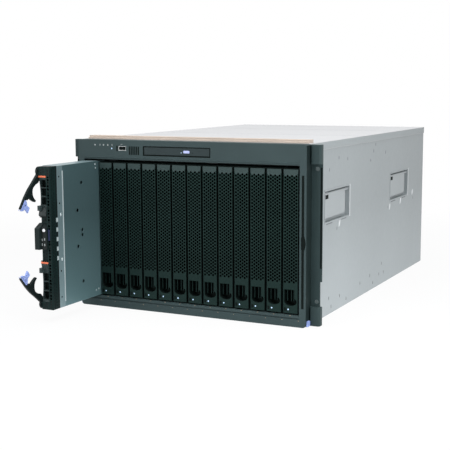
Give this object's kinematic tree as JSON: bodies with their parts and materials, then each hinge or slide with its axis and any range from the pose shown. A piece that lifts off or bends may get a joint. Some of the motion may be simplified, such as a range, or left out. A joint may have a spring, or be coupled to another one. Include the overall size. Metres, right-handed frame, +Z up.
{
  "type": "blade server chassis",
  "caption": "Rack chassis for upright blade servers, with one blade drawn halfway out of its bay, bay fillers, media panel, rack ears, folding side handles and rear modules.",
  "frame": {"origin": "middle of the width on the underside, in the plane of the rack ears' rear faces", "axes": "+X to the right seen from the front, +Y to the rear, +Z up"},
  "size_m": [0.4826, 0.92, 0.3105],
  "materials": {
    "chassis_steel": "galvanised sheet, satin",
    "lid_paint": "light grey powder coat",
    "bezel_plastic": "charcoal, fine texture",
    "filler_plastic": "near black, satin",
    "ear_paint": "black powder coat",
    "seal_foam": "beige cellular foam",
    "blue_touch": "periwinkle blue touch point",
    "orange_touch": "orange red touch point",
    "board": "green printed board",
    "module_steel": "bright sheet",
    "port_metal": "plated sheet",
    "disk_metal": "plain pressed sheet",
    "black_plastic": "black moulded plastic",
    "blade_steel": "dark blue grey steel",
    "sink_aluminium": "extruded",
    "connector_plastic": "black connector body",
    "pin_steel": "turned",
    "white_button": "white",
    "wheel_plastic": "black moulded plastic",
    "handle_steel": "pressed plate"
  },
  "bodies": {
    "chassis": {"chassis_shell": "chassis_steel", "top_cover": "lid_paint", "handle_pockets": "chassis_steel", "front_bezel": "bezel_plastic", "rack_ears": "ear_paint", "seal_strip": "seal_foam", "bezel_releases": "blue_touch", "midplane": "board", "rear_cage": "chassis_steel", "rear_bay_covers": "module_steel", "media_tray": "chassis_steel", "usb_port": "port_metal", "optical_drive": "disk_metal", "upper_bay_guide": "chassis_steel", "lower_bay_guide": "chassis_steel"},
    "blade": {"blade_tray": "blade_steel", "blade_cover": "blade_steel", "blade_front": "black_plastic", "control_panel": "bezel_plastic", "system_board": "board", "heat_sinks": "sink_aluminium", "memory_modules": "board", "blade_connectors": "connector_plastic", "lever_pins": "pin_steel"},
    "disc_tray": {"disc_tray": "black_plastic"},
    "eject_button": {"eject_button": "black_plastic"},
    "power_button": {"power_button": "white_button"},
    "upper_lever": {"upper_lever": "black_plastic"},
    "upper_lever_release": {"upper_lever_release": "blue_touch"},
    "upper_drive": {"upper_drive": "black_plastic"},
    "upper_drive_latch": {"upper_drive_latch": "orange_touch"},
    "upper_blower": {"upper_blower": "module_steel"},
    "upper_impeller": {"upper_impeller": "wheel_plastic"},
    "lower_lever": {"lower_lever": "black_plastic"},
    "lower_lever_release": {"lower_lever_release": "blue_touch"},
    "lower_drive": {"lower_drive": "black_plastic"},
    "lower_drive_latch": {"lower_drive_latch": "orange_touch"},
    "lower_blower": {"lower_blower": "module_steel"},
    "lower_impeller": {"lower_impeller": "wheel_plastic"},
    "bay_filler_02": {"bay_filler_02": "filler_plastic"},
    "bay_filler_03": {"bay_filler_03": "filler_plastic"},
    "bay_filler_04": {"bay_filler_04": "filler_plastic"},
    "bay_filler_05": {"bay_filler_05": "filler_plastic"},
    "bay_filler_06": {"bay_filler_06": "filler_plastic"},
    "bay_filler_07": {"bay_filler_07": "filler_plastic"},
    "bay_filler_08": {"bay_filler_08": "filler_plastic"},
    "bay_filler_09": {"bay_filler_09": "filler_plastic"},
    "bay_filler_10": {"bay_filler_10": "filler_plastic"},
    "bay_filler_11": {"bay_filler_11": "filler_plastic"},
    "bay_filler_12": {"bay_filler_12": "filler_plastic"},
    "bay_filler_13": {"bay_filler_13": "filler_plastic"},
    "bay_filler_14": {"bay_filler_14": "filler_plastic"},
    "front_right_handle": {"front_right_handle": "handle_steel"},
    "front_left_handle": {"front_left_handle": "handle_steel"},
    "rear_right_handle": {"rear_right_handle": "handle_steel"},
    "rear_left_handle": {"rear_left_handle": "handle_steel"},
    "left_power_module": {"left_power_module": "module_steel"},
    "right_power_module": {"right_power_module": "module_steel"},
    "switch_module": {"switch_module": "module_steel"},
    "management_module": {"management_module": "module_steel"}
  },
  "joints": [
    {"name": "blade_slide", "type": "slide", "parent": "chassis", "child": "blade", "axis": [0, -1, 0], "range_m": [-0.146, 0.31]},
    {"name": "upper_lever_turn", "type": "hinge", "parent": "blade", "child": "upper_lever", "pos_m": [-0.2059, -0.168, 0.258], "axis": [1, 0, 0], "range_deg": [0, 42]},
    {"name": "lower_lever_turn", "type": "hinge", "parent": "blade", "child": "lower_lever", "pos_m": [-0.2059, -0.168, 0.03], "axis": [-1, 0, 0], "range_deg": [0, 47]},
    {"name": "upper_release_turn", "type": "hinge", "parent": "upper_lever", "child": "upper_lever_release", "pos_m": [-0.2052, -0.21016, 0.20446], "axis": [1, 0, 0], "range_deg": [0, 8], "stiffness_Nm_per_rad": 0.05},
    {"name": "lower_release_turn", "type": "hinge", "parent": "lower_lever", "child": "lower_lever_release", "pos_m": [-0.2052, -0.21466, 0.07967], "axis": [-1, 0, 0], "range_deg": [0, 8], "stiffness_Nm_per_rad": 0.05},
    {"name": "upper_drive_slide", "type": "slide", "parent": "blade", "child": "upper_drive", "axis": [0, -1, 0], "range_m": [0, 0.115]},
    {"name": "upper_latch_press", "type": "slide", "parent": "upper_drive", "child": "upper_drive_latch", "axis": [0, 1, 0], "range_m": [0, 0.0012], "stiffness_N_per_m": 300},
    {"name": "lower_drive_slide", "type": "slide", "parent": "blade", "child": "lower_drive", "axis": [0, -1, 0], "range_m": [0, 0.115]},
    {"name": "lower_latch_press", "type": "slide", "parent": "lower_drive", "child": "lower_drive_latch", "axis": [0, 1, 0], "range_m": [0, 0.0012], "stiffness_N_per_m": 300},
    {"name": "power_press", "type": "slide", "parent": "blade", "child": "power_button", "axis": [0, 1, 0], "range_m": [0, 0.0008], "stiffness_N_per_m": 400},
    {"name": "disc_tray_slide", "type": "slide", "parent": "chassis", "child": "disc_tray", "axis": [0, -1, 0], "range_m": [0, 0.118]},
    {"name": "eject_press", "type": "slide", "parent": "disc_tray", "child": "eject_button", "axis": [0, 1, 0], "range_m": [0, 0.0008], "stiffness_N_per_m": 400},
    {"name": "bay_filler_02_slide", "type": "slide", "parent": "chassis", "child": "bay_filler_02", "axis": [0, -1, 0], "range_m": [0, 0.1]},
    {"name": "bay_filler_03_slide", "type": "slide", "parent": "chassis", "child": "bay_filler_03", "axis": [0, -1, 0], "range_m": [0, 0.1]},
    {"name": "bay_filler_04_slide", "type": "slide", "parent": "chassis", "child": "bay_filler_04", "axis": [0, -1, 0], "range_m": [0, 0.1]},
    {"name": "bay_filler_05_slide", "type": "slide", "parent": "chassis", "child": "bay_filler_05", "axis": [0, -1, 0], "range_m": [0, 0.1]},
    {"name": "bay_filler_06_slide", "type": "slide", "parent": "chassis", "child": "bay_filler_06", "axis": [0, -1, 0], "range_m": [0, 0.1]},
    {"name": "bay_filler_07_slide", "type": "slide", "parent": "chassis", "child": "bay_filler_07", "axis": [0, -1, 0], "range_m": [0, 0.1]},
    {"name": "bay_filler_08_slide", "type": "slide", "parent": "chassis", "child": "bay_filler_08", "axis": [0, -1, 0], "range_m": [0, 0.1]},
    {"name": "bay_filler_09_slide", "type": "slide", "parent": "chassis", "child": "bay_filler_09", "axis": [0, -1, 0], "range_m": [0, 0.1]},
    {"name": "bay_filler_10_slide", "type": "slide", "parent": "chassis", "child": "bay_filler_10", "axis": [0, -1, 0], "range_m": [0, 0.1]},
    {"name": "bay_filler_11_slide", "type": "slide", "parent": "chassis", "child": "bay_filler_11", "axis": [0, -1, 0], "range_m": [0, 0.1]},
    {"name": "bay_filler_12_slide", "type": "slide", "parent": "chassis", "child": "bay_filler_12", "axis": [0, -1, 0], "range_m": [0, 0.1]},
    {"name": "bay_filler_13_slide", "type": "slide", "parent": "chassis", "child": "bay_filler_13", "axis": [0, -1, 0], "range_m": [0, 0.1]},
    {"name": "bay_filler_14_slide", "type": "slide", "parent": "chassis", "child": "bay_filler_14", "axis": [0, -1, 0], "range_m": [0, 0.1]},
    {"name": "front_right_handle_turn", "type": "hinge", "parent": "chassis", "child": "front_right_handle", "pos_m": [0.2165, 0.1255, 0.2135], "axis": [0, -1, 0], "range_deg": [0, 90]},
    {"name": "front_left_handle_turn", "type": "hinge", "parent": "chassis", "child": "front_left_handle", "pos_m": [-0.2165, 0.1255, 0.2135], "axis": [0, 1, 0], "range_deg": [0, 90]},
    {"name": "rear_right_handle_turn", "type": "hinge", "parent": "chassis", "child": "rear_right_handle", "pos_m": [0.2165, 0.5015, 0.2135], "axis": [0, -1, 0], "range_deg": [0, 90]},
    {"name": "rear_left_handle_turn", "type": "hinge", "parent": "chassis", "child": "rear_left_handle", "pos_m": [-0.2165, 0.5015, 0.2135], "axis": [0, 1, 0], "range_deg": [0, 90]},
    {"name": "upper_blower_slide", "type": "slide", "parent": "chassis", "child": "upper_blower", "axis": [0, 1, 0], "range_m": [0, 0.25]},
    {"name": "upper_impeller_spin", "type": "hinge", "parent": "upper_blower", "child": "upper_impeller", "pos_m": [0, 0.591, 0.2274], "axis": [0, 1, 0], "continuous": true},
    {"name": "lower_blower_slide", "type": "slide", "parent": "chassis", "child": "lower_blower", "axis": [0, 1, 0], "range_m": [0, 0.25]},
    {"name": "lower_impeller_spin", "type": "hinge", "parent": "lower_blower", "child": "lower_impeller", "pos_m": [0, 0.591, 0.0762], "axis": [0, 1, 0], "continuous": true},
    {"name": "left_power_module_slide", "type": "slide", "parent": "chassis", "child": "left_power_module", "axis": [0, 1, 0], "range_m": [0, 0.25]},
    {"name": "right_power_module_slide", "type": "slide", "parent": "chassis", "child": "right_power_module", "axis": [0, 1, 0], "range_m": [0, 0.25]},
    {"name": "switch_module_slide", "type": "slide", "parent": "chassis", "child": "switch_module", "axis": [0, 1, 0], "range_m": [0, 0.25]},
    {"name": "management_module_slide", "type": "slide", "parent": "chassis", "child": "management_module", "axis": [0, 1, 0], "range_m": [0, 0.25]}
  ]
}
